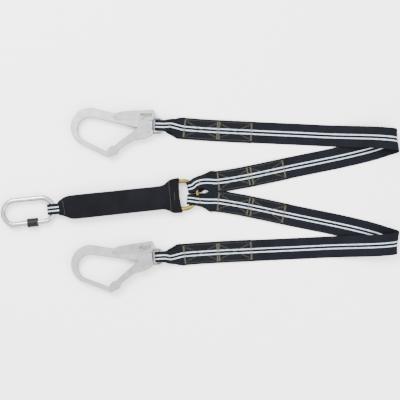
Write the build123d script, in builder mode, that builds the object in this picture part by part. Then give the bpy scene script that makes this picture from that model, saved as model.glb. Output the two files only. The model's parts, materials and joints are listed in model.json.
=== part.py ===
from build123d import *
import os
from math import cos, radians, sin

# Twin-leg shock absorbing lanyard, laid out flat on a floor at z = 0. Millimetres.
# X runs from the carabiner to the folds of the legs, +Z is up. The origin is under the
# middle of the box round the hardware: carabiner, absorber, ring and both hooks.

os.makedirs("parts", exist_ok=True)

# ---------------------------------------------------------------- driving dimensions
MID = 10.8  # height of the middle plane that all the metal lies in

WEB = 2.3  # thickness of the webbing
WEB_WIDTH = 44.0
FOLDED = 2 * WEB  # webbing folded in half, or two layers sewn together
LOOP_RADIUS = 6.2  # inside of a webbing loop
LOOP_WIDTH = 23.0
RING_LOOP_WIDTH = 18.0

ABSORBER_PLACE = (-90.9, -19.0)  # carabiner end of the cover
ABSORBER_TURN = 6.0
COVER_WALL = 1.3

CARABINER_X, CARABINER_Y = -60.7, 1.0  # middle of the oval, in the absorber's frame
OVAL_RADIUS, OVAL_HALF = 25.75, 28.0
BAR_RADIUS = 5.25
GATE_Y = -24.5
GATE_PIN_X = 26.4
GATE_RADIUS = 4.9
COLLAR_RADIUS = 6.2
SLEEVE_START, SLEEVE_LENGTH = -4.5, 23.0

RING_X, RING_Y = 268.8, 1.2  # middle of the ring's bow, in the absorber's frame
BOW_RADIUS, RING_ROD = 29.5, 4.5
RING_BACK = 19.6  # from the middle of the bow to the straight bar

HOOK_PLACES = {"hook_1": (130.8, 156.1, 0.0), "hook_2": (130.5, -119.6, 5.4)}
FRAME_THICK = 11.0
EYE_THICK = 8.6
LEVER_SHEET, GATE_SHEET, GAP = 1.5, 2.0, 0.15
LEVER_OUT = FRAME_THICK / 2 + GAP + LEVER_SHEET  # middle plane to the lever's outside
GATE_IN = LEVER_OUT + GAP
GATE_OUT = GATE_IN + GATE_SHEET
GATE_PIVOT = (-28.0, -12.7)
LOCK_PIN = (-40.9, 16.3)
LEVER_PIVOT = (-97.8, 19.7)
RIVET = 2.4
RIVET_HEAD = 3.0
HOLE = RIVET + 0.05

LEG_MIRROR_Y = 17.7  # the legs are mirror images about this line
FOLD_PLACE, FOLD_TURN = (629.3, 125.0), 8.0
FOLD_RADIUS = 14.0
FOLD_FOOT = -FOLD_RADIUS - 8.0  # where the fold's half round meets the strand on the floor
SEAM_GAP = 0.2


def flat_plane(x, y, turn, z=0.0):
    """A plane parallel to the floor, turned about Z."""
    direction = (cos(radians(turn)), sin(radians(turn)), 0)
    return Plane(origin=(x, y, z), x_dir=direction, z_dir=(0, 0, 1))


def upright_plane(x, y, turn):
    """A plane whose x lies in the floor plane along turn and whose y points up."""
    angle = radians(turn)
    return Plane(origin=(x, y, 0), x_dir=(cos(angle), sin(angle), 0), z_dir=(sin(angle), -cos(angle), 0))


def in_absorber(x, y):
    """A point of the absorber's frame, in the part's frame."""
    angle = radians(ABSORBER_TURN)
    across = ABSORBER_PLACE[0] + x * cos(angle) - y * sin(angle)
    along = ABSORBER_PLACE[1] + x * sin(angle) + y * cos(angle)
    return across, along


def save(part, name):
    part.label = name
    export_step(part, f"parts/{name}.step")


# ---------------------------------------------------------------- carabiner
def carabiner_plane(z=MID):
    return flat_plane(*in_absorber(CARABINER_X, CARABINER_Y), ABSORBER_TURN, z)


def carabiner_axis_plane(x):
    """Across the gate's own axis, at x along it."""
    level = carabiner_plane()
    centre = level.from_local_coords(Vector(x, GATE_Y, 0))
    return Plane(origin=centre, x_dir=level.y_dir, z_dir=level.x_dir)


def build_carabiner():
    level = carabiner_plane()
    nose_turn = 249.0
    hinge_turn = -72.0

    def on_bow(side, turn):
        angle = radians(turn)
        return (side * OVAL_HALF + OVAL_RADIUS * cos(angle), OVAL_RADIUS * sin(angle))

    with BuildPart() as body:
        with BuildLine(level) as path:
            ThreePointArc(on_bow(-1, nose_turn), on_bow(-1, 180), on_bow(-1, 90))
            Line(on_bow(-1, 90), on_bow(1, 90))
            ThreePointArc(on_bow(1, 90), on_bow(1, 0), on_bow(1, hinge_turn))
        with BuildSketch(Plane(origin=path.line @ 0, z_dir=path.line % 0)):
            Circle(BAR_RADIUS)
        sweep(path=path.line)
        # hinge tongue, held in the fork of the gate
        with BuildSketch(level.offset(-2.5)):
            with Locations((GATE_PIN_X, GATE_Y)):
                Circle(4.6)
            with Locations((GATE_PIN_X + 5.5, GATE_Y)):
                Rectangle(11, 9.2)
        extrude(amount=5.0)
        # nose block, and a lip under the gate with a tooth that stands in the gate's slot
        with BuildSketch(level.offset(-3.6)):
            with BuildLine():
                Polyline((-44.0, -25.0), (-40.5, -30.2), (-36.8, -31.6), (-35.5, -31.6), (-35.5, -21), (-42, -19), close=True)
            make_face()
        extrude(amount=7.2)
        with BuildSketch(level.offset(-2.4)):
            with Locations((-28.6, GATE_Y - 6.2)):
                Rectangle(17.2, 1.8)
        extrude(amount=4.8)
        with BuildSketch(level.offset(-1.9)):
            with Locations((-24.5, GATE_Y - 3.0)):
                Rectangle(4.0, 6.4)
        extrude(amount=3.8)
        with BuildSketch(level.offset(-6)):
            with Locations((GATE_PIN_X, GATE_Y)):
                Circle(1.65)
        extrude(amount=12, mode=Mode.SUBTRACT)
    save(body.part, "carabiner_body")

    with BuildPart() as gate:
        with BuildSketch(carabiner_axis_plane(-35.0)):
            Circle(GATE_RADIUS)
        extrude(amount=68.0)
        with BuildSketch(carabiner_axis_plane(-14.0)):
            Circle(COLLAR_RADIUS)
        extrude(amount=33.0)
        with BuildSketch(carabiner_axis_plane(-19.0)):
            Circle(3.1)
        extrude(amount=40.0, mode=Mode.SUBTRACT)
        with BuildSketch(level.offset(-2.75)):  # fork round the hinge tongue
            with Locations((27.0, GATE_Y)):
                Rectangle(15.0, 14)
        extrude(amount=5.5, mode=Mode.SUBTRACT)
        with BuildSketch(level.offset(-2.3)):  # slot for the nose tooth, open below
            with Locations((-28.5, GATE_Y - 1.5)):
                Rectangle(15.0, 9)
        extrude(amount=4.6, mode=Mode.SUBTRACT)
        with BuildSketch(level.offset(-6)):
            with Locations((GATE_PIN_X, GATE_Y)):
                Circle(1.65)
            with Locations((-30.5, GATE_Y)):
                Circle(1.42)
        extrude(amount=12, mode=Mode.SUBTRACT)
    save(gate.part, "carabiner_gate")

    with BuildPart() as gate_pin:
        with BuildSketch(level.offset(-4.6)):
            with Locations((GATE_PIN_X, GATE_Y)):
                Circle(1.6)
        extrude(amount=9.2)
    save(gate_pin.part, "carabiner_gate_pin")

    with BuildPart() as latch_pin:
        with BuildSketch(level.offset(-4.4)):
            with Locations((-30.5, GATE_Y)):
                Circle(1.4)
        extrude(amount=8.8)
    save(latch_pin.part, "carabiner_latch_pin")

    with BuildPart() as plunger:
        with BuildSketch(carabiner_axis_plane(9.0)):
            Circle(2.9)
        extrude(amount=8.0)
        with BuildSketch(carabiner_axis_plane(17.0)):
            Circle(2.0)
        extrude(amount=3.4)
    save(plunger.part, "carabiner_spring_plunger")

    spring_place = carabiner_axis_plane(-18.4)
    save(coil_spring(spring_place, 2.3, 0.45, 2.6, 26.6), "carabiner_gate_spring")

    ridge, groove = 2.0, 0.8
    with BuildPart() as sleeve:
        with BuildSketch(carabiner_axis_plane(SLEEVE_START)):
            Circle(9.5)
        extrude(amount=SLEEVE_LENGTH)
        chamfer(sleeve.edges().filter_by(GeomType.CIRCLE), 0.8)
        with BuildSketch(carabiner_axis_plane(SLEEVE_START)):
            Circle(COLLAR_RADIUS + 0.1)
        extrude(amount=SLEEVE_LENGTH, mode=Mode.SUBTRACT)
        with BuildSketch(carabiner_axis_plane(SLEEVE_START)):
            Circle(7.8)
        extrude(amount=11.0, mode=Mode.SUBTRACT)
        for start in (6.6, 14.4):  # two round grooves leave three ridges
            with BuildSketch(carabiner_axis_plane(SLEEVE_START + start)):
                Circle(9.6)
                Circle(9.5 - groove, mode=Mode.SUBTRACT)
            extrude(amount=ridge, mode=Mode.SUBTRACT)
    save(sleeve.part, "carabiner_sleeve")


def coil_spring(place, radius, wire, pitch, height):
    """A helical spring along the plane's normal, starting at the plane."""
    with BuildPart() as spring:
        with BuildLine() as path:
            Helix(pitch=pitch, height=height, radius=radius)
        with BuildSketch(Plane(origin=path.line @ 0, z_dir=path.line % 0)):
            Circle(wire)
        sweep(path=path.line, is_frenet=True)
    return spring.part.moved(place.location)


# ---------------------------------------------------------------- energy absorber
# distance along the pack, sideways shift, width, height of the cover's top, corner radius
COVER_STATIONS = (
    (2.5, 0.0, 28.0, 22.8, 2.5),
    (20.0, 0.0, 51.0, 27.0, 9.0),
    (229.0, 0.0, 50.5, 27.0, 9.0),
    (250.0, 1.0, 73.6, 23.0, 5.0),
    (264.0, 1.1, 75.0, 22.6, 5.0),
)


def cover_loft(inset):
    """The cover's outer form, or the space in it when inset is the wall."""
    with BuildPart() as form:
        for along, shift, width, top, corner in COVER_STATIONS:
            x, y = in_absorber(along, shift)
            station = upright_plane(x, y, ABSORBER_TURN + 90).shift_origin((x, y, top / 2))
            with BuildSketch(station):
                RectangleRounded(width - 2 * inset, top - 2 * inset, corner - inset / 2)
        loft(ruled=True)
    return form.part


def loop_ring(place, width, bight, far, tail, tail_z, sheet, inside=LOOP_RADIUS):
    """A webbing loop: a teardrop band round a bar, drawn upright on the plane and as
    wide as the strap. bight and far are the ends of its parallel stretch."""
    with BuildPart() as loop:
        with BuildSketch(place):
            with Locations((bight, MID), (far, MID)):
                Circle(inside + sheet)
            with Locations((tail, tail_z)):
                Circle(WEB + 0.05)
            make_hull()
            with BuildSketch(place, mode=Mode.SUBTRACT):
                with Locations((bight, MID), (far, MID)):
                    Circle(inside)
                with Locations((tail - 4, tail_z)):
                    Circle(0.1)
                make_hull()
        extrude(amount=width / 2, both=True)
    return loop.part


def serpentine(place, start, end, bottom, layers, sheet, width):
    """Webbing folded to and fro in flat layers that lie on each other."""
    pitch = sheet + 0.3
    with BuildPart() as folded:
        with BuildSketch(place):
            for layer in range(layers):
                height = bottom + layer * pitch + sheet / 2
                with Locations(((start + end) / 2, height)):
                    Rectangle(end - start, sheet)
            for layer in range(layers - 1):
                height = bottom + layer * pitch + sheet / 2 + pitch / 2
                turn_x = end if layer % 2 == 0 else start
                with Locations((turn_x, height)):
                    Rectangle(sheet, pitch + sheet)
        extrude(amount=width / 2, both=True)
    return folded.part


def build_absorber():
    with BuildPart() as cover:
        add(cover_loft(0))
        add(cover_loft(COVER_WALL), mode=Mode.SUBTRACT)
    save(cover.part, "absorber_cover")

    upright = upright_plane(*in_absorber(0, 0), ABSORBER_TURN)
    save(loop_ring(upright, LOOP_WIDTH, -10.8, -2.0, 25, MID, FOLDED, 5.6), "absorber_carabiner_loop")
    save(loop_ring(upright, WEB_WIDTH, 250.7, 247.0, 219, MID, WEB), "absorber_ring_loop")
    save(serpentine(upright, 30, 214, 7.0, 6, WEB, WEB_WIDTH), "absorber_tear_webbing")
    save(serpentine(upright, 32, 212, 2.3, 2, 2.0, WEB_WIDTH - 6), "absorber_backup_strap")

    with BuildPart() as seams:  # lines of thread across the cover's top
        for along, half, top in ((17.0, 19.0, 26.35), (241.0, 26.0, 24.78), (245.5, 8.0, 23.9)):
            with BuildSketch(flat_plane(*in_absorber(along, 0), ABSORBER_TURN, top)):
                Rectangle(1.2, 2 * half)
            extrude(amount=0.9)
        add(cover.part, mode=Mode.SUBTRACT)
        add(cover_loft(COVER_WALL), mode=Mode.SUBTRACT)
    save(seams.part, "absorber_cover_seams")


def build_ring():
    level = flat_plane(*in_absorber(RING_X, RING_Y), ABSORBER_TURN, MID)
    corner = 8.0
    side_end = corner - RING_BACK
    bar_end = BOW_RADIUS - corner
    soft = corner * (1 - cos(radians(45)))
    with BuildPart() as ring:
        with BuildLine(level) as path:
            ThreePointArc((0, -BOW_RADIUS), (BOW_RADIUS, 0), (0, BOW_RADIUS))
            Line((0, BOW_RADIUS), (side_end, BOW_RADIUS))
            ThreePointArc((side_end, BOW_RADIUS), (soft - RING_BACK, BOW_RADIUS - soft), (-RING_BACK, bar_end))
            Line((-RING_BACK, bar_end), (-RING_BACK, -bar_end))
            ThreePointArc((-RING_BACK, -bar_end), (soft - RING_BACK, soft - BOW_RADIUS), (side_end, -BOW_RADIUS))
            Line((side_end, -BOW_RADIUS), (0, -BOW_RADIUS))
        with BuildSketch(Plane(origin=path.line @ 0, z_dir=path.line % 0)):
            Circle(RING_ROD)
        sweep(path=path.line)
    save(ring.part, "d_ring")

    bar_x, bar_y = in_absorber(RING_X - RING_BACK, RING_Y)
    across = upright_plane(bar_x, bar_y, ABSORBER_TURN).shift_origin((bar_x, bar_y, MID))
    with BuildPart() as tube:
        with BuildSketch(across):
            Circle(5.3)
            Circle(RING_ROD + 0.05, mode=Mode.SUBTRACT)
        extrude(amount=20, both=True)
    save(tube.part, "absorber_wear_tube")


# ---------------------------------------------------------------- scaffold hooks
def rivet(place, at, half, head, head_radius=RIVET_HEAD):
    """A rivet through the middle plane at a point, with a domed head on both ends."""
    with BuildPart() as pin:
        with BuildSketch(place.offset(-half)):
            with Locations(at):
                Circle(RIVET)
        extrude(amount=2 * half)
        for low in (half, -half - head):
            with BuildSketch(place.offset(low)):
                with Locations(at):
                    Circle(head_radius)
            extrude(amount=head)
        top = pin.edges().filter_by(GeomType.CIRCLE).group_by(Axis.Z)[-1]
        bottom = pin.edges().filter_by(GeomType.CIRCLE).group_by(Axis.Z)[0]
        fillet(top + bottom, head * 0.7)
    return pin.part


def build_hook(name):
    x, y, turn = HOOK_PLACES[name]
    place = flat_plane(x, y, turn, MID)
    save(hook_frame(place), f"{name}_frame")
    save(hook_gate(place), f"{name}_gate")
    save(hook_lever(place), f"{name}_lever")
    save(rivet(place, GATE_PIVOT, GATE_OUT + 0.02, MID - GATE_OUT - 0.02), f"{name}_gate_rivet")
    save(rivet(place, LOCK_PIN, GATE_OUT + 0.02, MID - GATE_OUT - 0.02), f"{name}_lock_pin")
    save(rivet(place, LEVER_PIVOT, LEVER_OUT + 0.05, 1.6), f"{name}_lever_rivet")
    for part_name, at in (("gate_spring", GATE_PIVOT), ("lever_spring", LEVER_PIVOT)):
        centre = place.from_local_coords(Vector(at[0], at[1], -1.7))
        low = Plane(origin=centre, x_dir=place.x_dir, z_dir=place.z_dir)
        save(coil_spring(low, 3.8, 0.55, 1.2, 3.6), f"{name}_{part_name}")


def hook_frame(place):
    """Forged hook: a big open bow, a straight spine and a webbing eye whose bar is
    centred on the plane's origin."""
    outer, outer_r = (-151.9, -2.1), 40.2
    inner, inner_r = (-151.7, -7.8), 26.2
    spine_turn, arm_turn = 77.0, -116.0

    def on(centre, radius, turn):
        angle = radians(turn)
        return (centre[0] + radius * cos(angle), centre[1] + radius * sin(angle))

    with BuildPart() as frame:
        with BuildSketch(place.offset(-FRAME_THICK / 2)):
            with BuildLine():
                ThreePointArc(on(outer, outer_r, spine_turn), on(outer, outer_r, 170), on(outer, outer_r, arm_turn))
                Polyline(
                    on(outer, outer_r, arm_turn),
                    (-112.4, -66.0),
                    (-102.5, -61.8),
                    (-98.0, -55.5),
                    (-99.5, -46.2),
                    (-107.0, -47.4),
                    (-116.4, -54.0),
                    on(inner, inner_r, arm_turn),
                )
                ThreePointArc(on(inner, inner_r, arm_turn), on(inner, inner_r, 170), on(inner, inner_r, spine_turn))
                Polyline(
                    on(inner, inner_r, spine_turn),
                    (-52.5, -3.8),
                    (-44.1, -10.6),
                    (-36.4, -16.0),
                    (-19.5, -14.0),
                    (-19.5, 10.0),
                    (-24.0, 11.2),
                    (-46.2, 12.7),
                    on(outer, outer_r, spine_turn),
                )
            make_face()
            with Locations(GATE_PIVOT):
                Circle(8.8)
        extrude(amount=FRAME_THICK)
        rim = frame.faces().filter_by(Axis.Z)
        chamfer(rim.edges(), 1.0)
        with BuildSketch(place.offset(-EYE_THICK / 2)):
            with Locations((-10.9, 0)):
                RectangleRounded(30.2, 35.0, 11.0)
            with Locations((-11.1, 0)):
                RectangleRounded(13.8, 26.8, 2.3, mode=Mode.SUBTRACT)
        eye = extrude(amount=EYE_THICK, mode=Mode.PRIVATE)
        eye_rims = eye.faces().filter_by(Axis.Z).edges()
        add(eye.chamfer(2.0, None, eye_rims))
        # pockets for the two torsion springs, each open to the nearest edge
        for at, reach in ((GATE_PIVOT, -14.0), (LEVER_PIVOT, 14.0)):
            with BuildSketch(place.offset(-2.6)):
                with Locations(at):
                    Circle(5.2)
                with Locations((at[0], at[1] + reach / 2)):
                    Rectangle(6.0, abs(reach))
            extrude(amount=5.2, mode=Mode.SUBTRACT)
        with BuildSketch(place.offset(-FRAME_THICK)):
            with Locations(GATE_PIVOT, LEVER_PIVOT):
                Circle(HOLE)
        extrude(amount=2 * FRAME_THICK, mode=Mode.SUBTRACT)
    return frame.part


def hook_gate(place):
    """Pressed channel: two cheeks that end in ears, joined by a web at the tip and by
    another along the outer edge."""
    with BuildPart() as gate:
        for low in (GATE_IN, -GATE_OUT):
            with BuildSketch(place.offset(low)) as cheek:
                with BuildLine():
                    Polyline(
                        (-116.0, -51.8),
                        (-108.6, -43.4),
                        (-100.1, -41.9),
                        (-92.7, -35.5),
                        (-67.3, -16.9),
                        (-52.1, -6.3),
                        (-50.4, 4.2),
                        (-45.6, 17.2),
                        (-36.4, 18.2),
                        (-30.8, 8.5),
                        (-19.6, -9.0),
                        (-19.6, -17.0),
                        (-33.5, -25.4),
                        (-42.0, -27.5),
                        (-58.9, -29.6),
                        (-88.5, -47.6),
                        (-92.3, -51.8),
                        (-94.8, -58.8),
                        (-112.8, -65.8),
                        close=True,
                    )
                make_face()
                fillet(cheek.vertices(), 1.6)
                with Locations(LOCK_PIN):
                    Circle(4.9)
                with Locations(GATE_PIVOT):
                    Circle(9.4)
                with Locations(GATE_PIVOT, LOCK_PIN):
                    Circle(HOLE, mode=Mode.SUBTRACT)
            extrude(amount=GATE_SHEET)
        with BuildSketch(place.offset(-GATE_IN)):
            with BuildLine():
                Polyline(
                    (-112.2, -48.0),
                    (-108.4, -43.8),
                    (-100.1, -42.3),
                    (-92.7, -35.9),
                    (-88.0, -32.4),
                    (-89.3, -34.4),
                    (-94.0, -38.2),
                    (-101.0, -44.4),
                    (-109.3, -45.8),
                    close=True,
                )
            make_face()
            with BuildLine():
                Polyline(
                    (-88.0, -47.0),
                    (-58.6, -29.2),
                    (-46.0, -27.6),
                    (-46.4, -25.6),
                    (-59.4, -27.3),
                    (-87.0, -44.0),
                    close=True,
                )
            make_face()
        extrude(amount=2 * GATE_IN)
    return gate.part


def hook_lever(place):
    """Pressed channel safety lever. The lock pin rests in the low end of its slot and
    runs to the high end as the gate opens."""
    with BuildPart() as lever:
        for low in (LEVER_OUT - LEVER_SHEET, -LEVER_OUT):
            with BuildSketch(place.offset(low)) as side:
                with BuildLine():
                    Polyline(
                        (-100.0, 25.8),
                        (-88.5, 30.0),
                        (-65.2, 32.1),
                        (-17.0, 34.1),
                        (-13.8, 22.2),
                        (-18.3, 13.1),
                        (-30.3, 9.9),
                        (-52.5, 12.1),
                        (-98.0, 13.4),
                        close=True,
                    )
                make_face()
                fillet(side.vertices(), 1.2)
                with Locations(LEVER_PIVOT):
                    Circle(6.4)
                    Circle(HOLE, mode=Mode.SUBTRACT)
                with BuildSketch(mode=Mode.SUBTRACT):
                    with Locations(LOCK_PIN, (-42.2, 23.2), (-22.8, 23.2)):
                        Circle(2.85)
                    make_hull()
            extrude(amount=LEVER_SHEET)
        with BuildSketch(place.offset(-LEVER_OUT)):  # the thumb strip along the back
            with BuildLine():
                Polyline(
                    (-86.0, 30.2),
                    (-65.2, 32.1),
                    (-17.4, 34.1),
                    (-17.0, 32.3),
                    (-65.1, 30.3),
                    (-86.0, 28.4),
                    close=True,
                )
            make_face()
        extrude(amount=2 * LEVER_OUT)
        # pressed rib across both sides, and across the thumb strip
        for low in (LEVER_OUT, -LEVER_OUT - 0.5):
            with BuildSketch(place.offset(low)):
                with Locations((-60.2, 22.0)):
                    Rectangle(5.5, 17.0)
            extrude(amount=0.5)
    return lever.part


# ---------------------------------------------------------------- legs
HOOK_BAND = (
    (158.0, 169.2),
    (173.4, 173.9),
    (211.5, 170.7),
    (296.0, 165.6),
    (423.0, 160.0),
    (592.0, 153.4),
    (640.0, 151.0),
    (640.0, 104.8),
    (592.0, 108.5),
    (423.0, 115.9),
    (296.0, 121.0),
    (211.5, 126.4),
    (162.9, 130.7),
    (156.0, 144.8),
)
RING_BAND = (
    (222.0, 46.5),
    (233.7, 58.6),
    (254.0, 61.0),
    (338.0, 77.1),
    (423.0, 94.8),
    (508.0, 111.7),
    (592.0, 134.0),
    (640.0, 149.5),
    (640.0, 103.0),
    (592.0, 88.8),
    (508.0, 67.8),
    (338.0, 31.6),
    (296.0, 23.5),
    (266.0, 18.1),
    (230.0, 18.1),
    (220.0, 24.0),
)
LEG_LOOPS = {  # place and direction of the loop on the ring, before mirroring
    "leg_1": (182.0, 22.4, 13.0),
    "leg_2": (183.5, 34.9, 3.0),
}


def band(outline, start, end, height):
    """A slab of webbing on the floor, between two x positions."""
    with BuildPart() as slab:
        with BuildSketch():
            with BuildLine():
                Polyline(*outline, close=True)
            make_face()
            with Locations(((start + end) / 2, 100.0)):
                Rectangle(end - start, 400, mode=Mode.INTERSECT)
        extrude(amount=height)
    return slab.part


def fold_bend():
    """The leg's fold: the strand on top rises in a long slope and turns under in a half
    round, and a short flat end joins the strand on the floor."""
    tail = -132.0
    place = upright_plane(*FOLD_PLACE, FOLD_TURN)
    with BuildPart() as bend:
        with BuildSketch(place):
            with Locations((-FOLD_RADIUS, FOLD_RADIUS)):
                Circle(FOLD_RADIUS)
            with Locations((tail, WEB)):
                Circle(WEB)
            make_hull()
            with BuildSketch(place, mode=Mode.SUBTRACT):
                with Locations((-FOLD_RADIUS, FOLD_RADIUS)):
                    Circle(FOLD_RADIUS - WEB)
                with Locations((tail - 6, WEB + 0.2)):
                    Circle(0.1)
                make_hull()
            with BuildLine():
                Polyline((tail - 10, -1), (FOLD_FOOT, -1), (FOLD_FOOT, 8), (tail - 10, WEB), close=True)
            make_face(mode=Mode.SUBTRACT)
        extrude(amount=60, both=True)
        with BuildSketch():
            with BuildLine():
                Polyline(*HOOK_BAND, close=True)
            make_face()
        extrude(amount=60, mode=Mode.INTERSECT)
    return bend.part


def hook_strand():
    """The loop on the hook, the strand that lies on top and the fold at its end."""
    hook_end = upright_plane(115.9, 157.1, -5.5)
    bight = LOOP_RADIUS + FOLDED
    with BuildPart() as strand:
        add(band(HOOK_BAND, 150, 322, FOLDED))
        add(band(HOOK_BAND, 300, 503, WEB))
        add(band(HOOK_BAND, 496, 508, FOLDED))
        add(fold_bend())
        add(loop_ring(hook_end, LOOP_WIDTH, bight, bight + 11, 60, WEB + 0.15, FOLDED))
    return strand.part


def ring_strand(name):
    """The loop on the ring and the strand on the floor, up to the foot of the fold."""
    ring_x, ring_y, ring_turn = LEG_LOOPS[name]
    ring_end = upright_plane(ring_x, ring_y, ring_turn)
    bight = LOOP_RADIUS + FOLDED
    with BuildPart() as strand:
        add(band(RING_BAND, 219, 398, FOLDED))
        add(band(RING_BAND, 380, 620, WEB))
        add(loop_ring(ring_end, RING_LOOP_WIDTH, bight, bight + 15, 48, WEB + 0.05, FOLDED))
        with BuildSketch(flat_plane(*FOLD_PLACE, FOLD_TURN)):
            with Locations((FOLD_FOOT + 50 - SEAM_GAP, 0)):
                Rectangle(100, 200)
        extrude(amount=FOLDED, mode=Mode.SUBTRACT)
    return strand.part


def leg_webbing(name):
    """One strap from hook to ring. Both loop ends are doubled back and sewn. Its two
    strands meet in a hairline butt at the foot of the fold."""
    with BuildPart() as strap:
        add(hook_strand())
        add(ring_strand(name))
    return strap.part


def box_stitch(x, y, turn):
    """Two sewn boxes side by side, each with its cross, and a dense bar between them."""
    length, height, thread = 71.0, 37.0, 1.0
    with BuildPart() as rows:
        with BuildSketch(flat_plane(x, y, turn, FOLDED)):
            for side in (-1, 1):
                with Locations((side * length / 2, 0)):
                    Rectangle(length, height)
                    Rectangle(length - 2 * thread, height - 2 * thread, mode=Mode.SUBTRACT)
            for side in (-1, 1):
                for slope in (-1, 1):
                    with Locations(Location((side * length / 2, 0), slope * 27.5)):
                        Rectangle(78.0, thread)
            Rectangle(3.6, height)
        extrude(amount=0.35)
    return rows.part


def build_legs():
    to_leg_2 = Plane(origin=(0, LEG_MIRROR_Y, 0), x_dir=(1, 0, 0), z_dir=(0, 1, 0))
    with BuildPart() as stitching:
        add(box_stitch(249.6, 145.9, -3.9))
        add(box_stitch(321.0, 52.2, 11.6))
    save(stitching.part, "leg_1_stitching")
    save(mirror(stitching.part, about=to_leg_2), "leg_2_stitching")
    save(leg_webbing("leg_1"), "leg_1_webbing")
    save(mirror(leg_webbing("leg_2"), about=to_leg_2), "leg_2_webbing")


build_carabiner()
build_absorber()
build_ring()
for hook_name in HOOK_PLACES:
    build_hook(hook_name)
build_legs()
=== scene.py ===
"""The looks of a twin-leg shock absorbing lanyard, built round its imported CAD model.

Lengths are in millimetres and angles in degrees, unless a comment says otherwise."""

import json
import math

import bmesh
import bpy
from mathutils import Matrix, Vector, noise


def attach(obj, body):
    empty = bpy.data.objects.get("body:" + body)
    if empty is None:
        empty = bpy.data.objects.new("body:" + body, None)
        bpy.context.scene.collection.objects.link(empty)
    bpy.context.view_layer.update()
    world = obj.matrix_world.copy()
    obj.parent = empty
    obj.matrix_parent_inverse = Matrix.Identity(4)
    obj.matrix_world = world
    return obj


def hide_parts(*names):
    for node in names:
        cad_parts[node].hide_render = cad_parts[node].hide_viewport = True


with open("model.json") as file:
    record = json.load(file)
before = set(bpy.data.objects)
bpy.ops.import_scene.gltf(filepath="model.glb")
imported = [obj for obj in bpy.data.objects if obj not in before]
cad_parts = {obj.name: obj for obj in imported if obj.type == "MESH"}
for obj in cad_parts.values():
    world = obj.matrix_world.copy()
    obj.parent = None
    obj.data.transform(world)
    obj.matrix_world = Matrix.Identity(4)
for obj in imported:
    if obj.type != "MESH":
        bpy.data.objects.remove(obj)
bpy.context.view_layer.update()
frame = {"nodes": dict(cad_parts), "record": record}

MM = 0.001
TURN = 2 * math.pi


# ---------------------------------------------------------------- camera
VIEW_MIDDLE = (211.5, -0.4)
VIEW_WIDTH = 846.0  # what the camera sees across, at VIEW_LEVEL above the floor
VIEW_LEVEL = 10.0
CAMERA_HEIGHT = 3000.0
SENSOR = 36.0


def make_camera():
    data = bpy.data.cameras.new("camera")
    data.sensor_width = SENSOR
    data.lens = SENSOR * (CAMERA_HEIGHT - VIEW_LEVEL) / VIEW_WIDTH
    data.clip_start, data.clip_end = 0.1, 20.0
    camera = bpy.data.objects.new("camera", data)
    camera.location = (VIEW_MIDDLE[0] * MM, VIEW_MIDDLE[1] * MM, CAMERA_HEIGHT * MM)
    bpy.context.scene.collection.objects.link(camera)
    bpy.context.scene.camera = camera


make_camera()


# ---------------------------------------------------------------- sizes of the webbing
WEB = 2.3  # thickness
WEB_HALF = 22.7
STRIPE_MIDDLE, STRIPE_HALF = 3.7, 1.45
CREASE = 1.3  # radius of the sheet's middle where it is folded lengthwise
LOOP_HALF = 11.5  # half width of the folded loops at the hooks and the carabiner
RING_LOOP_HALF = {"leg_1": 12.6, "leg_2": 11.2}
OPEN = WEB_HALF + CREASE + WEB / 2  # the half width at which nothing is folded
MIRROR_Y = 17.7  # leg_2 is leg_1's mirror image about this line


# ---------------------------------------------------------------- materials
# wavelengths of the weaves, in metres
RIB, PICK = 0.0016, 0.0011
STRIPE_DASH, STRIPE_YARN = 0.0021, 0.0010
COVER_THREAD, TEAR_THREAD = 0.0009, 0.0016
PICK_SLANT = 0.55
STRIPE_RIM = 0.55  # width of the dashed stitch along each edge of a stripe
# noise scales of the metals, per metre
METAL_CLOUDS, SPANGLES, SCUFFS, PITS = 55.0, 260.0, 320.0, 1400.0
SOFT_CORNER = 0.0007  # metres that a metal's edges look rounded by
WORN_LIFT = 1.35  # how much brighter a worn edge is


def add_node(tree, kind, settings=None, **inputs):
    """A shader node. An input is given by its name, with _ for its spaces, or by i and its
    number, and its value may be a socket."""
    made = tree.nodes.new(kind)
    for key, value in (settings or {}).items():
        setattr(made, key, value)
    for key, value in inputs.items():
        numbered = key[0] == "i" and key[1:].isdigit()
        socket = made.inputs[int(key[1:]) if numbered else key.replace("_", " ")]
        if isinstance(value, bpy.types.NodeSocket):
            tree.links.new(value, socket)
        else:
            socket.default_value = value
    return made


def new_material(name, **values):
    material = bpy.data.materials.new(name)
    material.use_nodes = True
    tree = material.node_tree
    shader = tree.nodes["Principled BSDF"]
    for key, value in values.items():
        shader.inputs[key.replace("_", " ")].default_value = value
    return material, tree, shader


def ramp(tree, value, low, high, start=0.3, end=0.7):
    """Two colours blended by a value between start and end."""
    made = add_node(tree, "ShaderNodeValToRGB", None, Fac=value)
    made.color_ramp.elements[0].position = start
    made.color_ramp.elements[1].position = end
    made.color_ramp.elements[0].color = (*low, 1.0)
    made.color_ramp.elements[1].color = (*high, 1.0)
    return made.outputs["Color"]


def maths(tree, operation, first, second=0.0):
    made = add_node(tree, "ShaderNodeMath", {"operation": operation}, i0=first, i1=second)
    return made.outputs[0]


def plus_share(tree, value, share, other):
    """value + share * other"""
    return maths(tree, "ADD", value, maths(tree, "MULTIPLY", other, share))


def wave(tree, value, length):
    """A sine wave along a value, both in metres."""
    return maths(tree, "SINE", maths(tree, "MULTIPLY", value, TURN / length))


def noise_of(tree, where, scale, detail=3.0):
    made = add_node(tree, "ShaderNodeTexNoise", None, Vector=where, Scale=scale, Detail=detail)
    return made.outputs["Fac"]


def mapped(tree, value, **limits):
    return add_node(tree, "ShaderNodeMapRange", None, Value=value, **limits).outputs[0]


def mixed(tree, share, first, second):
    """Two colours mixed by a share."""
    made = add_node(tree, "ShaderNodeMix", {"data_type": "RGBA"}, Factor=share, i6=first, i7=second)
    return made.outputs[2]


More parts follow.
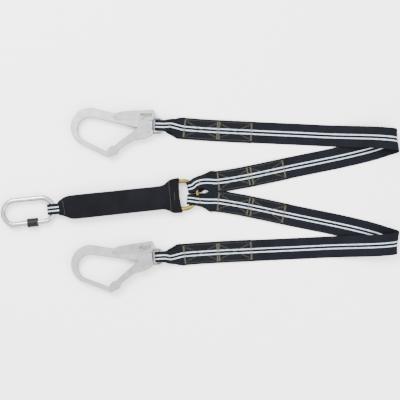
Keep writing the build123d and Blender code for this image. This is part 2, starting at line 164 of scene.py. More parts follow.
def object_place(tree):
    return add_node(tree, "ShaderNodeTexCoord").outputs["Object"]


def split_axes(tree, vector):
    return add_node(tree, "ShaderNodeSeparateXYZ", None, Vector=vector).outputs


def add_bump(tree, shader, height, strength, distance, **extra):
    """Bump of a depth in metres, on a shader."""
    bump = add_node(
        tree, "ShaderNodeBump", None, Strength=strength, Distance=distance, Height=height, **extra
    )
    tree.links.new(bump.outputs[0], shader.inputs["Normal"])


def metal(name, dark, light, roughness, grain, spangle):
    """Bare or plated metal: cloudy tone, fine pits, worn bright edges and soft corners."""
    material, tree, shader = new_material(name, Metallic=1.0)
    where = object_place(tree)
    tone = ramp(tree, noise_of(tree, where, METAL_CLOUDS, 5.0), dark, light)
    if spangle:
        cells = add_node(tree, "ShaderNodeTexVoronoi", None, Vector=where, Scale=SPANGLES)
        patch = add_node(tree, "ShaderNodeSeparateColor", None, Color=cells.outputs["Color"]).outputs[0]
        lift = mapped(tree, patch, To_Min=1.0 - spangle, To_Max=1.0 + spangle)
        scaled = add_node(tree, "ShaderNodeVectorMath", {"operation": "SCALE"}, i0=tone, Scale=lift)
        tone = scaled.outputs[0]
    soft = add_node(tree, "ShaderNodeBevel", {"samples": 4}, Radius=SOFT_CORNER).outputs[0]
    flat = add_node(tree, "ShaderNodeNewGeometry").outputs["Normal"]
    facing = add_node(tree, "ShaderNodeVectorMath", {"operation": "DOT_PRODUCT"}, i0=soft, i1=flat)
    worn = mapped(tree, facing.outputs["Value"], From_Min=0.99, From_Max=0.8, To_Max=0.5)
    bright = tuple(min(1.0, c * WORN_LIFT) for c in light)
    tree.links.new(mixed(tree, worn, tone, (*bright, 1.0)), shader.inputs["Base Color"])
    scuffs = noise_of(tree, where, SCUFFS, 6.0)
    rough = mapped(tree, scuffs, To_Min=roughness - grain, To_Max=roughness + grain)
    tree.links.new(rough, shader.inputs["Roughness"])
    add_bump(tree, shader, noise_of(tree, where, PITS, 2.0), 0.12, 0.0002, Normal=soft)
    return material


def webbing_material(name, dark, light):
    """Woven strap: ribs along it, picks across it and a little fuzz. UVs are in metres."""
    material, tree, shader = new_material(name, Specular_IOR_Level=0.08, Roughness=0.8)
    uv = split_axes(tree, add_node(tree, "ShaderNodeUVMap").outputs[0])
    ribs = wave(tree, uv[1], RIB)
    picks = wave(tree, plus_share(tree, uv[0], PICK_SLANT, uv[1]), PICK)
    weave = plus_share(tree, maths(tree, "MULTIPLY", ribs, 0.35), 0.3, picks)
    where = object_place(tree)
    fuzz = noise_of(tree, where, 900.0)
    cloud = noise_of(tree, where, 30.0)
    shade = plus_share(tree, plus_share(tree, fuzz, 0.4, cloud), 0.35, weave)
    tree.links.new(ramp(tree, shade, dark, light, 0.35, 1.1), shader.inputs["Base Color"])
    add_bump(tree, shader, plus_share(tree, weave, 0.8, fuzz), 0.5, 0.00035)
    return material


def stripe_material(name, dark, low, high):
    """Pale reflective yarn with a dashed dark stitch along each edge of a stripe."""
    material, tree, shader = new_material(name, Roughness=0.42, Specular_IOR_Level=0.3)
    uv = split_axes(tree, add_node(tree, "ShaderNodeUVMap").outputs[0])
    from_stripe = maths(tree, "SUBTRACT", maths(tree, "ABSOLUTE", uv[1]), STRIPE_MIDDLE * MM)
    off = maths(tree, "ABSOLUTE", from_stripe)
    rim = maths(tree, "GREATER_THAN", off, (STRIPE_HALF - STRIPE_RIM) * MM)
    dash = maths(tree, "GREATER_THAN", wave(tree, uv[0], STRIPE_DASH), 0.0)
    pale = ramp(tree, noise_of(tree, object_place(tree), 140.0, 4.0), low, high)
    tone = mixed(tree, maths(tree, "MULTIPLY", rim, dash), pale, (*dark, 1.0))
    tree.links.new(tone, shader.inputs["Base Color"])
    add_bump(tree, shader, wave(tree, uv[0], STRIPE_YARN), 0.35, 0.0002)
    return material


def cloth_material(name, dark, light, thread):
    """Fine plain weave in the row frame, with broad soft tone changes."""
    material, tree, shader = new_material(
        name, Sheen_Weight=0.05, Sheen_Roughness=0.4, Roughness=0.75, Specular_IOR_Level=0.08
    )
    where = object_place(tree)
    axes = split_axes(tree, where)
    weave = maths(tree, "MULTIPLY", wave(tree, axes[0], thread), wave(tree, axes[1], thread))
    raised = maths(tree, "ADD", weave, noise_of(tree, where, 1100.0, 2.0))
    shade = plus_share(tree, noise_of(tree, where, 26.0, 5.0), 0.12, raised)
    tree.links.new(ramp(tree, shade, dark, light, 0.3, 0.85), shader.inputs["Base Color"])
    add_bump(tree, shader, raised, 0.35, 0.0002)
    return material


def grained_material(name, scale, detail, dark, light, bump, **values):
    """A tone and a fine bump that follow one noise: sewing thread, plastic or paint."""
    material, tree, shader = new_material(name, **values)
    grain = noise_of(tree, object_place(tree), scale, detail)
    tree.links.new(ramp(tree, grain, dark, light), shader.inputs["Base Color"])
    add_bump(tree, shader, grain, bump, 0.0001)
    return material


def thread_material(name, dark, light):
    looks = {"Roughness": 0.6, "Sheen_Weight": 0.1, "Specular_IOR_Level": 0.2}
    return grained_material(name, 1600.0, 2.0, dark, light, 0.4, **looks)


def moulded_material(name, tone):
    light = tuple(c * 1.8 for c in tone)
    return grained_material(name, 400.0, 4.0, tone, light, 0.15, Roughness=0.5, Specular_IOR_Level=0.15)


webbing = webbing_material("webbing", (0.0008, 0.0009, 0.0015), (0.0060, 0.0067, 0.0105))
stripe = stripe_material("reflective_stripe", (0.01, 0.012, 0.02), (0.30, 0.36, 0.43), (0.50, 0.57, 0.64))
olive_thread = thread_material("olive_thread", (0.035, 0.033, 0.018), (0.115, 0.108, 0.062))
tan_thread = thread_material("tan_thread", (0.20, 0.07, 0.018), (0.38, 0.15, 0.045))


# ---------------------------------------------------------------- meshes
def add_piece(name, made, *materials):
    """An object from a bmesh, which this frees."""
    mesh = bpy.data.meshes.new(name)
    bmesh.ops.recalc_face_normals(made, faces=made.faces)
    made.to_mesh(mesh)
    made.free()
    for material in materials:
        mesh.materials.append(material)
    piece = bpy.data.objects.new(name, mesh)
    bpy.context.scene.collection.objects.link(piece)
    return piece


def skin(made, rows):
    """Smooth faces from each ring of vertices to the next, and a face over each end."""
    for low, high in zip(rows, rows[1:]):
        for j in range(len(low)):
            k = (j + 1) % len(low)
            made.faces.new((low[j], low[k], high[k], high[j])).smooth = True
    made.faces.new(rows[0])
    made.faces.new(rows[-1])


def lengths_along(line):
    """How far along a line each of its points is."""
    along = [0.0]
    for behind, ahead in zip(line, line[1:]):
        along.append(along[-1] + (ahead - behind).length)
    return along


def mirror(point):
    return Vector((point[0], 2 * MIRROR_Y - point[1], point[2]))


def turned(place, x, y, z, *facts):
    """A control point given in a turned frame (origin x, origin y, degrees)."""
    angle = math.radians(place[2])
    across = place[0] + x * math.cos(angle) - y * math.sin(angle)
    along = place[1] + x * math.sin(angle) + y * math.cos(angle)
    return (across, along, z, *facts)


# ---------------------------------------------------------------- straps
ROUTE_STEPS = 12  # points of the line per control point
STOP_START, STOP_GAP, STOP_COUNT = 6.2, 0.66, 25
LAST_GAP = 0.4  # least distance from the last stop but one to the edge
FOLD_MARGIN, LEAST_FOLD = 0.4, 0.5  # what a folded wing leaves free of the flat, and its least width
FLOOR_GAP = 0.03
# near the strap's edge: distance from the edge, share of the full thickness
SELVEDGE = ((0.1, 0.35), (0.9, 0.72))
STRIPE_DIP, STRIPE_DIP_WIDTH = 0.12, 0.5


def route_line(name, points):
    """The points of the NURBS curve that has these control points."""
    curve = bpy.data.curves.new(name, "CURVE")
    curve.dimensions = "3D"
    curve.resolution_u = ROUTE_STEPS
    spline = curve.splines.new("NURBS")
    spline.points.add(len(points) - 1)
    for point, place in zip(spline.points, points):
        point.co = (*place, 1.0)
    spline.order_u = 3
    spline.use_endpoint_u = True
    bare = bpy.data.objects.new(name, curve)
    mesh = bpy.data.meshes.new_from_object(bare)
    line = [v.co.copy() for v in mesh.vertices]
    bpy.data.meshes.remove(mesh)
    bpy.data.objects.remove(bare)
    bpy.data.curves.remove(curve)
    return line


def section_stops():
    """Where the section has points, from the strap's middle to its edge."""
    stripes = [STRIPE_MIDDLE - STRIPE_HALF, STRIPE_MIDDLE, STRIPE_MIDDLE + STRIPE_HALF]
    rest = [STOP_START + STOP_GAP * i for i in range(STOP_COUNT)]
    return [0.0, *stripes, *[r for r in rest if r < WEB_HALF - LAST_GAP], WEB_HALF]


STOPS = section_stops()


def strap_section(fold, half):
    """Points across the strap as (stop, across, inward, normal across, normal inward).
    What lies past the crease is folded onto the rest, on the side that fold's sign gives.
    half is half the folded strap's width, and past OPEN there is nothing left to fold."""
    flat_to = half - CREASE - WEB / 2
    side = 1.0 if fold >= 0 else -1.0
    wing = max(0.0, WEB_HALF - flat_to - CREASE * math.pi)
    room = max(LEAST_FOLD, flat_to - FOLD_MARGIN)
    shrink = min(1.0, room / wing) if wing else 1.0
    points = []
    for stop in STOPS:
        past = stop - flat_to
        if past <= 0:
            points.append((stop, stop, 0.0, 0.0, 1.0))
            continue
        bent = min(math.pi, past / CREASE) * abs(fold)
        rest = max(0.0, past - CREASE * math.pi) * shrink
        across = flat_to + CREASE * math.sin(bent) + rest * math.cos(bent)
        inward = side * (CREASE * (1 - math.cos(bent)) + rest * math.sin(bent))
        points.append((stop, across, inward, -side * math.sin(bent), math.cos(bent)))
    left = [(-s, -x, y, -nx, ny) for s, x, y, nx, ny in points[:0:-1]]
    return left + points


def frames_along(line, turns):
    """The strap's across and inward directions at each point of its line. turns are the
    directions of the lines that the strap is flat or bent about."""
    frames = []
    for i, turn in enumerate(turns):
        ahead, behind = line[min(i + 1, len(line) - 1)], line[max(i - 1, 0)]
        tangent = (ahead - behind).normalized()
        axis = Vector((math.cos(math.radians(turn)), math.sin(math.radians(turn)), 0))
        inward = tangent.cross(axis).normalized()
        frames.append((inward.cross(tangent).normalized(), inward))
    return frames


def half_thickness(stop):
    """Half the strap's thickness: less at its edges, and dipped along the stripes' edges."""
    from_middle = abs(stop)
    share = next((share for reach, share in SELVEDGE if from_middle >= WEB_HALF - reach), 1.0)
    from_dip = (abs(from_middle - STRIPE_MIDDLE) - STRIPE_HALF) / STRIPE_DIP_WIDTH
    return WEB / 2 * share - STRIPE_DIP * math.exp(-(from_dip**2))


def on_floor(point):
    return Vector((point.x, point.y, max(point.z, FLOOR_GAP)))


def strap(name, controls, mirrored):
    """A strap of webbing along a route. Each control is (x, y, z, turn, fold, half). Gives
    the piece, its line as shown, and its (line, along, frames) before any mirroring."""
    line = route_line(name, [c[:3] for c in controls])
    facts = route_line(name, [c[3:6] for c in controls])
    frames = frames_along(line, [turn for turn, _, _ in facts])
    along = lengths_along(line)
    rings = []
    for point, (_, fold, half), (across, inward) in zip(line, facts, frames):
        outer, inner = [], []
        for stop, x, y, nx, ny in strap_section(fold, half):
            base = point + across * x + inward * y
            normal = across * nx + inward * ny
            thin = half_thickness(stop)
            outer.append((on_floor(base - normal * thin), stop))
            inner.append((on_floor(base + normal * thin), stop))
        rings.append(outer + inner[::-1])
    piece = strap_mesh(name, rings, along, mirrored)
    shown = [mirror(p) if mirrored else p for p in line]
    return piece, shown, (line, along, frames)


def strap_mesh(name, rings, along, mirrored):
    """A closed skin over rings of (point, stop), with stripe faces and UVs in metres."""
    made = bmesh.new()
    uv = made.loops.layers.uv.new("UVMap")
    rows = [[made.verts.new((mirror(p) if mirrored else p) * MM) for p, _ in ring] for ring in rings]
    stops = [stop for _, stop in rings[0]]
    low, high = STRIPE_MIDDLE - STRIPE_HALF, STRIPE_MIDDLE + STRIPE_HALF
    for i in range(len(rows) - 1):
        for j in range(len(stops)):
            k = (j + 1) % len(stops)
            corners = [(i, j), (i, k), (i + 1, k), (i + 1, j)]
            face = made.faces.new([rows[a][b] for a, b in corners])
            middle = abs(stops[j] + stops[k]) / 2
            face.material_index = 1 if low < middle < high and stops[j] != stops[k] else 0
            face.smooth = True
            for loop, (a, b) in zip(face.loops, corners):
                loop[uv].uv = (along[a] * MM, stops[b] * MM)
    for row in (rows[0], rows[-1]):
        cap = made.faces.new(row)
        for loop in cap.loops:
            loop[uv].uv = (0.0, 0.0)
    return add_piece(name, made, webbing, stripe)


# ---------------------------------------------------------------- the legs' routes
LOW, HIGH = WEB / 2, WEB * 1.5  # middle of a strap on the floor, and of one on another
LOOP_TOP = 20.45  # middle of a strap on top of a rod
# places on the floor plan, as (x, y, direction)
FOLD = (629.3, 125.0, 8.0)
FOLD_LINE = FOLD[2] + 90.0
FOLD_TOP = 28.0 - LOW
HOOK_LOOPS = {"leg_1": (115.9, 157.6, -2.5), "leg_2": (115.9, 157.2, -5.4)}
RING_LOOPS = {"leg_1": (184.2, 25.2, 12.0), "leg_2": (183.5, 34.2, 4.0)}
# how far the layer under the ring has moved sideways where it comes out beyond the rod
RING_DRIFT = {"leg_1": -3.0, "leg_2": -1.5}
# where each strap runs from its ring loop to the sewn part: x, y, z, the way across, half width
RING_WAYS = {
    "leg_1": (
        (201.5, 33.9, 17.5, 108.0, 13.0),
        (211.0, 37.8, 12.5, 106.0, 13.4),
        (223.0, 39.4, 9.5, 101.0, 16.0),
        (235.0, 39.0, 6.5, 99.0, OPEN),
    ),
    "leg_2": (
        (203.0, 36.6, 16.0, 96.0, 11.5),
        (212.0, 37.4, 12.5, 96.0, 12.2),
        (223.0, 38.2, 9.5, 98.0, 15.5),
        (235.0, 38.4, 6.5, 100.0, OPEN),
    ),
}


def leg_controls(leg):
    """The strap from under the ring's rod, over the floor, round the fold and back to the
    hook's eye. leg_2 is made as leg_1 is and then mirrored."""
    ring = RING_LOOPS[leg]
    hook = HOOK_LOOPS[leg]
    ring_turn, hook_turn = ring[2] + 90.0, hook[2] + 90.0
    start = ((20, RING_DRIFT[leg], LOW), (LOW, 0, LOW), (LOW, 0, LOOP_TOP), (12, 0, LOOP_TOP))
    route = [turned(ring, x, y, z, ring_turn, -1.0, RING_LOOP_HALF[leg]) for x, y, z in start]
    route += [(x, y, z, turn, -1.0, half) for x, y, z, turn, half in RING_WAYS[leg]]
    route += [
        (245.0, 38.2, HIGH, 100.0, 0.0, OPEN),
        (258.0, 39.7, HIGH, 100.0, 0.0, OPEN),
        (296.1, 45.8, HIGH, 100.0, 0.0, OPEN),
        (338.4, 54.4, HIGH, 100.0, 0.0, OPEN),
        (393.0, 66.2, HIGH, 100.0, 0.0, OPEN),
        (409.0, 69.6, LOW, 100.0, 0.0, OPEN),
        (465.3, 81.0, LOW, 100.0, 0.0, OPEN),
        (507.6, 89.6, LOW, 99.0, 0.0, OPEN),
        (549.9, 99.3, LOW, FOLD_LINE, 0.0, OPEN),
    ]
    bend = (
        (-50.0, -10.6, LOW),
        (-26.85, -6.4, LOW),
        (-LOW, -2.6, LOW),
        (-LOW, 3.0, FOLD_TOP),
        (-26.85, 9.6, 24.3),
        (-55.0, 15.4, 18.7),
        (-95.0, 22.3, 10.8),
        (-114.0, 25.6, 6.8),
        (-128.0, 28.2, 3.6),
        (-142.0, 30.6, LOW),
    )
    route += [turned(FOLD, x, y, z, FOLD_LINE, 0.0, OPEN) for x, y, z in bend]
    route += [
        (423.0, 138.6, LOW, 92.0, 0.0, OPEN),
        (370.0, 140.9, LOW, 90.0, 0.0, OPEN),
        (333.0, 142.6, LOW, 88.0, 0.0, OPEN),
        (317.0, 143.4, HIGH, 88.0, 0.0, OPEN),
        (253.8, 146.3, HIGH, 87.0, 0.0, OPEN),
        (211.5, 148.8, HIGH, 86.0, 0.0, OPEN),
        (186.0, 150.8, HIGH, 84.0, 0.0, OPEN),
        (174.0, 152.0, 4.5, 82.0, 1.0, OPEN),
        (162.0, 155.0, 8.0, 82.0, 1.0, 18.0),
        (149.0, 158.5, 12.5, 86.0, 1.0, 13.0),
    ]
    end = ((22, LOOP_TOP), (LOW, LOOP_TOP), (LOW, LOW), (24, LOW))
    route += [turned(hook, x, 0, z, hook_turn, 1.0, LOOP_HALF) for x, z in end]
    return route


def hook_return(leg):
    """The strap's end, doubled back from under the hook's eye and lying below."""
    return [
        turned(HOOK_LOOPS[leg], 24, 0, LOW, 86.0, 1.0, LOOP_HALF),
        (145.0, 154.6, LOW, 80.0, 1.0, 14.5),
        (158.0, 152.8, LOW, 82.0, 1.0, 19.0),
        (168.0, 151.6, LOW, 83.0, 1.0, OPEN),
        (186.0, 150.4, LOW, 84.0, 0.0, OPEN),
        (211.5, 148.4, LOW, 86.0, 0.0, OPEN),
        (253.8, 145.8, LOW, 87.0, 0.0, OPEN),
        (296.1, 143.6, LOW, 88.0, 0.0, OPEN),
        (321.0, 142.5, LOW, 88.0, 0.0, OPEN),
    ]


def ring_return(leg):
    """The strap's other end, doubled back from under the ring's rod."""
    ring, half, drift = RING_LOOPS[leg], RING_LOOP_HALF[leg], RING_DRIFT[leg]
    route = [
        turned(ring, 20, drift, LOW, ring[2] + 90.0, 1.0, half),
        turned(ring, 28, drift - 0.8, LOW, ring[2] + 88.0, 1.0, half),
    ]
    route += [(x + 4.0, y - 3.0, LOW, turn, 1.0, half + 0.5) for x, y, _, turn, half in RING_WAYS[leg]]
    route += [
        (258.0, 39.3, LOW, 100.0, 0.0, OPEN),
        (296.1, 45.4, LOW, 100.0, 0.0, OPEN),
        (338.4, 54.0, LOW, 100.0, 0.0, OPEN),
        (396.0, 66.4, LOW, 100.0, 0.0, OPEN),
    ]
    return route


# ---------------------------------------------------------------- stitching
STITCH_SECTION = ((-0.5, -0.25), (-0.36, 0.6), (0, 1.0), (0.36, 0.6), (0.5, -0.25))
STITCH_TAPER = ((0.0, 0.35), (0.22, 1.0), (0.78, 1.0), (1.0, 0.35))  # share of its length, size
THREAD_SHARE, SATIN_HEIGHT = 0.6, 0.45  # a satin thread's width as a share of its pitch, its height


class Stitcher:
    """Collects stitches on a strap's upper face into one mesh."""

    def __init__(self, name, ways, mirrored):
        self.name, self.mirrored = name, mirrored
        self.line, self.along, self.frames = ways
        self.made = bmesh.new()

    def place(self, along, across):
        """A point on the strap's upper face and the direction up from it."""
        i = 1
        while i < len(self.along) - 1 and self.along[i] < along:
            i += 1
        share = (along - self.along[i - 1]) / (self.along[i] - self.along[i - 1])
        middle = self.line[i - 1].lerp(self.line[i], share)
        side, inward = self.frames[i]
        up = inward if inward.z > 0 else -inward
        sideways = side if side.y > 0 else -side
        return middle + sideways * across + up * (WEB / 2), up

    def stitch(self, first, last, width, height):
        """One laid thread between two points (along, across): a low five-sided bead."""
        start, up = self.place(*first)
        end, _ = self.place(*last)
        run = (end - start).normalized()
        side = up.cross(run).normalized()
        rows = []
        for share, size in STITCH_TAPER:
            middle = start.lerp(end, share)
            wide, high = width * size, height * size
            points = [middle + side * (x * wide) + up * (y * high) for x, y in STITCH_SECTION]
            rows.append([self.made.verts.new((mirror(p) if self.mirrored else p) * MM) for p in points])
        skin(self.made, rows)

    def seam(self, first, last, length=2.2, gap=1.5, width=0.6, height=0.35):
        """A running seam of stitches from one (along, across) to another."""
        reach = math.dist(first, last)
        count = max(1, round(reach / (length + gap)))
        for i in range(count):
            a, b = i / count, (i + length / (length + gap)) / count
            ends = [tuple(p + (q - p) * share for p, q in zip(first, last)) for share in (a, b)]
            self.stitch(*ends, width, height)

    def satin(self, along, reach, half, pitch, slant):
        """A dense bar across the strap: short threads side by side."""
        count = round(2 * reach / pitch)
        for i in range(count):
            across = -reach + (i + 0.5) * pitch
            ends = (along - half, across - slant), (along + half, across + slant)
            self.stitch(*ends, pitch * THREAD_SHARE, SATIN_HEIGHT)

    def finish(self, material):
        return add_piece(self.name, self.made, material)


BOX_HALF = 18.6
CROSS_ENDS = 2.0  # from a cross to the ends of its box
CROSS_SIDES = (1.5, 4.1)  # from its two threads to the sides of its box
BAR_HALF, MIDDLE_BAR_HALF = 2.0, 1.8
BAR_THREADS = (1.35, 0.5)  # pitch and slant
TACK_REACH, TACK_HALF, TACK_THREADS = 5.4, 1.5, (0.9, 0.2)
UPPER_LAYER = 0.001  # weight of the height in the search for a place along a strap


def sewn_boxes(stitcher, start, first, second, middle_bars):
    """Two boxes with crosses, side by side, starting at a length along the strap.
    middle_bars is how far the two bars between the boxes are from where the boxes meet."""
    middle, end = start + first, start + first + second
    for a, b in ((start, middle), (middle, end)):
        stitcher.seam((a, -BOX_HALF), (b, -BOX_HALF))
        stitcher.seam((a, BOX_HALF), (b, BOX_HALF))
        for inset in CROSS_SIDES:
            reach = BOX_HALF - inset
            stitcher.seam((a + CROSS_ENDS, -reach), (b - CROSS_ENDS, reach))
            stitcher.seam((a + CROSS_ENDS, reach), (b - CROSS_ENDS, -reach))
    for at in (start, end):
        stitcher.satin(at, BOX_HALF, BAR_HALF, *BAR_THREADS)
    for offset in (-middle_bars, middle_bars):
        stitcher.satin(middle + offset, BOX_HALF, MIDDLE_BAR_HALF, *BAR_THREADS)


# which half of the strap, where the boxes start (x, y), their lengths, how far the bars
# between them are from where they meet, and where the bar tack is (x, y)
SEWN_ENDS = (
    ("ring", (249.8, 38.5), (68.5, 73.0), 3.6, (211.0, 36.0)),
    ("hook", (319.5, 143.0), (70.0, 72.0), 2.0, (146.0, 157.0)),
)


def nearest_along(ways, end, x, y):
    """How far along a strap's ring or hook half its line passes nearest to a point of the
    floor plan. Where two layers pass it alike, the upper one counts."""
    line, along, _ = ways
    half = len(line) // 2
    picks = range(half) if end == "ring" else range(half, len(line))

    def distance(i):
        return (line[i].x - x) ** 2 + (line[i].y - y) ** 2 - UPPER_LAYER * line[i].z

    return along[min(picks, key=distance)]


def make_leg(leg, mirrored):
    main, line, ways = strap(f"{leg}_main_strap", leg_controls(leg), mirrored)
    lower, _, _ = strap(f"{leg}_hook_end_doubled", hook_return(leg), mirrored)
    inner, _, _ = strap(f"{leg}_ring_end_doubled", ring_return(leg), mirrored)
    seams = Stitcher(f"{leg}_box_stitching", ways, mirrored)
    tacks = Stitcher(f"{leg}_bar_tacks", ways, mirrored)
    for end, start, lengths, middle_bars, tack_place in SEWN_ENDS:
        sewn_boxes(seams, nearest_along(ways, end, *start), *lengths, middle_bars)
        tacks.satin(nearest_along(ways, end, *tack_place), TACK_REACH, TACK_HALF, *TACK_THREADS)
    thread = seams.finish(olive_thread)
    tack = tacks.finish(tan_thread)
    for piece in (main, lower, inner, thread, tack):
        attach(piece, f"{leg}_strap")
    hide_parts(f"{leg}_webbing")
    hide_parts(f"{leg}_stitching")


make_leg("leg_1", False)
make_leg("leg_2", True)


# ---------------------------------------------------------------- absorber pack
PACK = (-90.9, -19.0, 6.0)  # where its carabiner end lies, and its direction
COVER_DARK, COVER_LIGHT = (0.0006, 0.0006, 0.0011), (0.0034, 0.0036, 0.0062)
cover_cloth = cloth_material("cover_cloth", COVER_DARK, COVER_LIGHT, COVER_THREAD)

# along the pack, sideways shift, half width, underside, top, squareness of the section
COVER_SHAPE = (
    (2.5, 0.6, 13.6, 3.0, 18.8, 0.6),
    (6.0, 1.2, 15.6, 2.0, 20.2, 0.55),
    (11.0, 1.9, 17.9, 1.2, 22.2, 0.5),
    (17.0, 2.1, 20.7, 0.6, 24.4, 0.45),
    (24.0, 1.2, 23.5, 0.2, 26.0, 0.42),
    (32.0, 0.2, 25.2, 0.0, 26.8, 0.4),
    (60.0, 0.0, 25.6, 0.0, 27.0, 0.38),
    (120.0, 0.0, 25.4, 0.0, 27.1, 0.38),
    (180.0, 0.0, 25.3, 0.0, 27.0, 0.38),
    (214.0, 0.0, 25.2, 0.0, 26.6, 0.4),
    (227.0, 0.3, 26.0, 0.0, 26.0, 0.4),
    (235.0, 0.8, 30.0, 0.1, 24.9, 0.4),
    (242.0, 1.0, 34.6, 0.2, 23.7, 0.38),
    (249.0, 1.0, 36.6, 0.3, 22.9, 0.36),
    (264.0, 1.1, 37.3, 0.4, 22.4, 0.36),
)
COVER_START, COVER_END = COVER_SHAPE[0][0], COVER_SHAPE[-1][0]
COVER_STEPS, COVER_SIDES = 150, 96
# the cloth turned in at each end: along the pack, how far inside the outer skin
NECK_HEM = ((22.0, 1.6), (6.0, 1.5), (3.0, 1.1), (2.5, 0.5))
MOUTH_HEM = ((264.0, 0.5), (263.4, 1.1), (258.0, 1.3), (238.0, 1.6))
CROWN = 1.1  # how much lower the top is at its sides
FURROWS = ((15.5, 17.0), (240.5, 31.5))  # sewn furrows: along the pack, half length
FURROW_WIDTH = 1.6
RIPPLES = ((0.035, 0.06, 1.7, 0.55), (0.11, 0.16, 4.1, 0.28))  # two scales, seed, height
PULLS = ((226.0, 14.0), (14.0, 12.0))  # where the cloth is gathered: along the pack, width
PULL_ALONG, PULL_ACROSS, PULL_HEIGHT = 0.05, 0.62, 0.3  # the gathers' turn per mm, and height
TOP_SETTLED = 0.35  # how far the whole top has sunk
COVER_GAP = 0.02  # least height over the floor
MOUTH_START, MOUTH_HOLLOW = 252.0, 3.6
# stitch lines over the cover's top: along the pack, half length, lean
STITCH_LINES = ((15.5, 14.5, -1.2), (240.5, 31.5, 0.5), (250.0, 8.5, 0.3))
STITCH_LINE_STEPS = 40


def smooth_between(rows, at):
    """Values of the table at a place along it, on a Catmull-Rom curve."""
    i = max(k for k in range(len(rows)) if rows[k][0] <= at or k == 0)
    i = min(i, len(rows) - 2)
    before, after = rows[max(i - 1, 0)], rows[min(i + 2, len(rows) - 1)]
    start, end = rows[i], rows[i + 1]
    span = end[0] - start[0]
    t = (at - start[0]) / span
    values = []
    for k in range(1, len(start)):
        m0 = (end[k] - before[k]) / (end[0] - before[0]) * span
        m1 = (after[k] - start[k]) / (after[0] - start[0]) * span
        h = (2 * t**3 - 3 * t**2 + 1, t**3 - 2 * t**2 + t, -2 * t**3 + 3 * t**2, t**3 - t**2)
        values.append(h[0] * start[k] + h[1] * m0 + h[2] * end[k] + h[3] * m1)
    return values


def signed_power(value, power):
    return math.copysign(abs(value) ** power, value)


def bell(value, width):
    return math.exp(-((value / width) ** 2))


def cover_point(at, angle, inset=0.0):
    """A point of the cover's cloth: a boxy section with crown, furrows and light creases.
    angle is in radians round the section."""
    shift, half, low, top, square = smooth_between(COVER_SHAPE, at)
    x = signed_power(math.cos(angle), square) * (half - inset)
    height = (top - low) / 2 - inset
    z = (top + low) / 2 + signed_power(math.sin(angle), square) * height
    upper = max(0.0, math.sin(angle))
    z -= upper * CROWN * (abs(x) / half) ** 2
    for furrow, reach in FURROWS:
        z -= upper * bell(at - furrow, FURROW_WIDTH) * (abs(x) < reach)
    ripple = sum(noise.noise(Vector((at * a, x * b, seed))) * size for a, b, seed, size in RIPPLES)
    gather = sum(bell(at - place, width) for place, width in PULLS)
    ripple += gather * math.sin(x * PULL_ACROSS + at * PULL_ALONG) * PULL_HEIGHT
    z += upper * (ripple - TOP_SETTLED)
    if at > MOUTH_START:
        depth = (at - MOUTH_START) / (COVER_END - MOUTH_START)
        at -= MOUTH_HOLLOW * (1 - (x / half) ** 2) * depth
    return Vector(turned(PACK, at, x + shift, max(z, COVER_GAP)))


def make_cover():
    """The cover: one closed skin that turns in at both ends."""
    step = (COVER_END - COVER_START) / COVER_STEPS
    skins = [(COVER_START + i * step, 0.0) for i in range(COVER_STEPS + 1)]
    made = bmesh.new()
    rows = []
    for at, inset in (*NECK_HEM, *skins, *MOUTH_HEM):
        row = [cover_point(at, TURN * j / COVER_SIDES, inset) * MM for j in range(COVER_SIDES)]
        rows.append([made.verts.new(p) for p in row])
    skin(made, rows)
    cover = add_piece("absorber_cover_cloth", made, cover_cloth)
    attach(cover, "absorber_pack")
    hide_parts("absorber_cover")


make_cover()


def stitch_line_ways(at, reach, lean):
    """A stitch line over the cover's top, as (line, along, frames) like a strap's."""
    _, half, _, _, square = smooth_between(COVER_SHAPE, at)
    line = []
    for i in range(STITCH_LINE_STEPS + 1):
        across = -reach + 2 * reach * i / STITCH_LINE_STEPS
        share = min(0.999, abs(across) / half)
        angle = math.acos(math.copysign(share ** (1 / square), across))
        line.append(cover_point(at + lean * across / reach, angle) - Vector((0, 0, WEB / 2)))
    frames = [(Vector((1, 0, 0)), Vector((0, 0, 1)))] * len(line)
    return line, lengths_along(line), frames


def make_cover_seams():
    for i, facts in enumerate(STITCH_LINES):
        way = stitch_line_ways(*facts)
        seam = Stitcher(f"cover_seam_{i + 1}", way, False)
        seam.seam((0.0, 0.0), (way[1][-1] - 0.5, 0.0), length=2.4, gap=1.4, width=0.8, height=0.6)
        piece = seam.finish(olive_thread)
        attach(piece, "absorber_pack")
    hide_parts("absorber_cover_seams")


make_cover_seams()

ROD_LEVEL = 10.8  # height of the middle of the carabiner's and the ring's bars
CARABINER_ROD = -10.8  # along the pack
RING_BAR = 250.7
CARABINER_LOOP = 5.6 + WEB * 1.5  # radius of the loop's middle round the carabiner
RING_LOOP = 6.2 + WEB / 2


def pack_loop(name, node, way, fold, half):
    """A loop of webbing along the pack's middle, from (along, height) points."""
    route = [turned(PACK, x, 0, z, PACK[2] + 90.0, fold, half) for x, z in way]
    loop, _, _ = strap(name, route, False)
    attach(loop, "absorber_pack")
    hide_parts(node)


def make_pack_loops():
    """The webbing loops that hold the carabiner and the ring."""
    left = CARABINER_ROD - CARABINER_LOOP
    top, low = ROD_LEVEL + CARABINER_LOOP, ROD_LEVEL - CARABINER_LOOP
    way = ((32, 12.5), (16, 15.5), (-3, top), (left, top), (left, low), (-3, low), (16, 6.6), (32, 9.0))
    pack_loop("carabiner_loop_webbing", "absorber_carabiner_loop", way, 1.0, LOOP_HALF)
    right = RING_BAR + RING_LOOP
    top, low = ROD_LEVEL + RING_LOOP, ROD_LEVEL - RING_LOOP
    way = ((215, 12.0), (232, 16.0), (247, top), (right, top))
    way += ((right, low), (247, low), (232, 5.6), (215, 9.4))
    pack_loop("ring_loop_webbing", "absorber_ring_loop", way, 0.0, OPEN)


make_pack_loops()


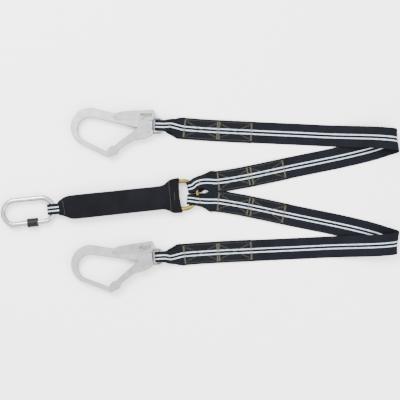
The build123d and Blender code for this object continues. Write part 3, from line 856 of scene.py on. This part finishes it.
# ---------------------------------------------------------------- metal and plastic
# slot: dark and light tone, roughness, how much that varies, how much its spangles do
METALS = {
    "galvanised_forging": ((0.27, 0.27, 0.28), (0.35, 0.35, 0.362), 0.38, 0.12, 0.05),
    "galvanised_sheet": ((0.23, 0.23, 0.24), (0.31, 0.31, 0.32), 0.34, 0.12, 0.05),
    "rivet_steel": ((0.24, 0.19, 0.19), (0.36, 0.30, 0.30), 0.3, 0.12, 0.0),
    "polished_steel": ((0.29, 0.29, 0.305), (0.40, 0.40, 0.42), 0.17, 0.06, 0.0),
    "pin_steel": ((0.40, 0.40, 0.42), (0.58, 0.58, 0.60), 0.35, 0.12, 0.0),
    "spring_steel": ((0.25, 0.26, 0.28), (0.42, 0.43, 0.45), 0.3, 0.12, 0.0),
    "ring_zinc": ((0.10, 0.072, 0.012), (0.22, 0.17, 0.045), 0.24, 0.12, 0.0),
}
FINISHES = {
    **{slot: metal(slot, *facts) for slot, facts in METALS.items()},
    "sleeve": moulded_material("sleeve", (0.004, 0.004, 0.005)),
    "wear_tube": moulded_material("wear_tube", (0.03, 0.03, 0.033)),
    "tear_webbing": cloth_material("tear_webbing", (0.35, 0.33, 0.26), (0.60, 0.57, 0.48), TEAR_THREAD),
    "cover_fabric": cover_cloth,
    "cover_thread": olive_thread,
    "thread": olive_thread,
    "webbing": webbing,
}


def finish_nodes():
    """Every carried-over CAD node gets its slot's full material."""
    for entry in frame["record"]["subparts"]:
        node = frame["nodes"][entry["node"]]
        node.data.materials.clear()
        node.data.materials.append(FINISHES[entry["material_slot"]])


finish_nodes()


# ---------------------------------------------------------------- floor and light
FLOOR_HALF, FLOOR_LEVEL = 6.0, -0.0003  # metres


def make_stage():
    mesh = bpy.data.meshes.new("floor")
    made = bmesh.new()
    bmesh.ops.create_grid(made, x_segments=1, y_segments=1, size=FLOOR_HALF)
    made.to_mesh(mesh)
    made.free()
    floor = bpy.data.objects.new("floor", mesh)
    floor.location.z = FLOOR_LEVEL
    bpy.context.scene.collection.objects.link(floor)
    material, _, _ = new_material("floor", Base_Color=(0.96, 0.96, 0.96, 1.0), Roughness=0.95)
    mesh.materials.append(material)


def make_light(name, place, aim, size, energy):
    """A square area light. Places and sizes are in metres, energy in watts."""
    data = bpy.data.lights.new(name, "AREA")
    data.size, data.energy = size, energy
    light = bpy.data.objects.new(name, data)
    light.location = place
    light.rotation_mode = "QUATERNION"
    light.rotation_quaternion = (Vector(aim) - Vector(place)).to_track_quat("-Z", "Y")
    bpy.context.scene.collection.objects.link(light)


def make_world(strength):
    """A plain studio: bright overhead, greyer towards the horizon."""
    world = bpy.data.worlds.new("studio")
    world.use_nodes = True
    tree = world.node_tree
    where = add_node(tree, "ShaderNodeTexCoord").outputs["Generated"]
    tone = ramp(tree, split_axes(tree, where)[2], (0.16, 0.165, 0.18), (1.0, 1.0, 1.0), 0.0, 0.75)
    background = tree.nodes["Background"]
    tree.links.new(tone, background.inputs["Color"])
    background.inputs["Strength"].default_value = strength
    bpy.context.scene.world = world


make_stage()
make_light("key", (-0.5, 1.0, 1.7), (0.2, 0.0, 0.0), 0.9, 75.0)
make_light("fill", (1.3, -0.9, 1.5), (0.2, 0.0, 0.0), 1.2, 30.0)
make_world(3.4)
